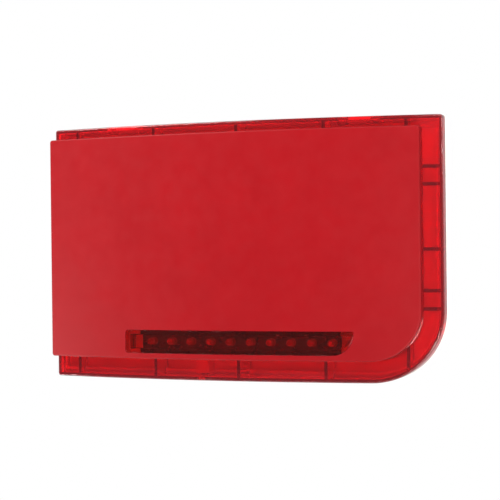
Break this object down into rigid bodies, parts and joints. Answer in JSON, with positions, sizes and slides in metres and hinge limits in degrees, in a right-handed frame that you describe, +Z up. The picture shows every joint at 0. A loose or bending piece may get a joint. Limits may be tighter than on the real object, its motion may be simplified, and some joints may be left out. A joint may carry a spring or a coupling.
{
  "type": "horn strobe",
  "caption": "Wall-hung outdoor horn strobe: bowed translucent red cover on a white tray, opaque red front panel and a low strip window over a row of LEDs.",
  "frame": {"origin": "centre of the tray's back face, where it bears on the wall", "axes": "+X right, +Y into the wall, +Z up; the front faces -Y"},
  "size_m": [0.3, 0.0441, 0.186],
  "materials": {
    "panel_red": "satin, fine spark-eroded grain",
    "clear_red": "polished translucent polycarbonate",
    "tray_white": "fine matt grain",
    "black_abs": "fine matt grain",
    "rubber_black": "matt",
    "board_green": "solder mask",
    "board_black": "solder mask",
    "steel": "zinc plated",
    "brass": "turned",
    "driver_metal": "spun disc",
    "battery_sleeve": "shrink sleeve",
    "led_epoxy": "polished epoxy",
    "terminal_green": "moulded",
    "header_white": "moulded",
    "capacitor_can": "printed sleeve, print left out",
    "lead_red": "PVC",
    "lead_black": "PVC"
  },
  "bodies": {
    "base": {"base_tray": "tray_white", "battery_lead": "lead_red", "battery_pack": "battery_sleeve", "battery_strap": "steel", "board_screw_1": "steel", "board_screw_2": "steel", "board_screw_3": "steel", "board_screw_4": "steel", "cable_grommet": "rubber_black", "capacitor_large": "capacitor_can", "capacitor_small": "capacitor_can", "control_board": "board_green", "driver_screw_1": "steel", "driver_screw_2": "steel", "driver_screw_3": "steel", "hinge_pin_left": "steel", "hinge_pin_right": "steel", "horn_lead": "lead_black", "horn_screw_1": "steel", "horn_screw_2": "steel", "horn_shell": "black_abs", "lead_header": "header_white", "led_01": "led_epoxy", "led_02": "led_epoxy", "led_03": "led_epoxy", "led_04": "led_epoxy", "led_05": "led_epoxy", "led_06": "led_epoxy", "led_07": "led_epoxy", "led_08": "led_epoxy", "led_09": "led_epoxy", "led_10": "led_epoxy", "led_board": "board_black", "led_carrier": "tray_white", "lock_insert": "brass", "piezo_driver": "driver_metal", "plunger_guide": "black_abs", "relay": "black_abs", "strap_screw_1": "steel", "strap_screw_2": "steel", "strip_lead": "lead_red", "strip_screw_1": "steel", "strip_screw_2": "steel", "tamper_switch": "black_abs", "terminal_block": "terminal_green"},
    "cover": {"lens_cover": "clear_red", "front_panel": "panel_red", "led_window": "clear_red"},
    "lock_screw": {"lock_screw": "steel"},
    "lock_collar": {"lock_collar": "rubber_black"},
    "tamper_lever": {"tamper_lever": "steel"},
    "wall_plunger": {"wall_plunger": "header_white"}
  },
  "joints": [
    {"name": "cover_hinge", "type": "hinge", "parent": "base", "child": "cover", "pos_m": [0, -0.0125, 0.0908], "axis": [-1, 0, 0], "range_deg": [0, 90]},
    {"name": "lock_travel", "type": "slide", "parent": "base", "child": "lock_collar", "axis": [0, 0, -1], "range_m": [0, 0.0035]},
    {"name": "lock_turn", "type": "hinge", "parent": "lock_collar", "child": "lock_screw", "pos_m": [-0.03, -0.015, -0.091], "axis": [0, 0, -1], "range_deg": [0, 1800]},
    {"name": "tamper_lever_hinge", "type": "hinge", "parent": "base", "child": "tamper_lever", "pos_m": [-0.062, -0.0139, -0.043], "axis": [0, 0, -1], "range_deg": [0, 12]},
    {"name": "wall_plunger_slide", "type": "slide", "parent": "base", "child": "wall_plunger", "axis": [0, 1, 0], "range_m": [0, 0.003]}
  ],
  "couplings": [
    {"joint": "lock_turn", "follows": "lock_travel", "rad_per_m": 8976},
    {"joint": "tamper_lever_hinge", "follows": "cover_hinge", "ratio": 0.13333}
  ]
}
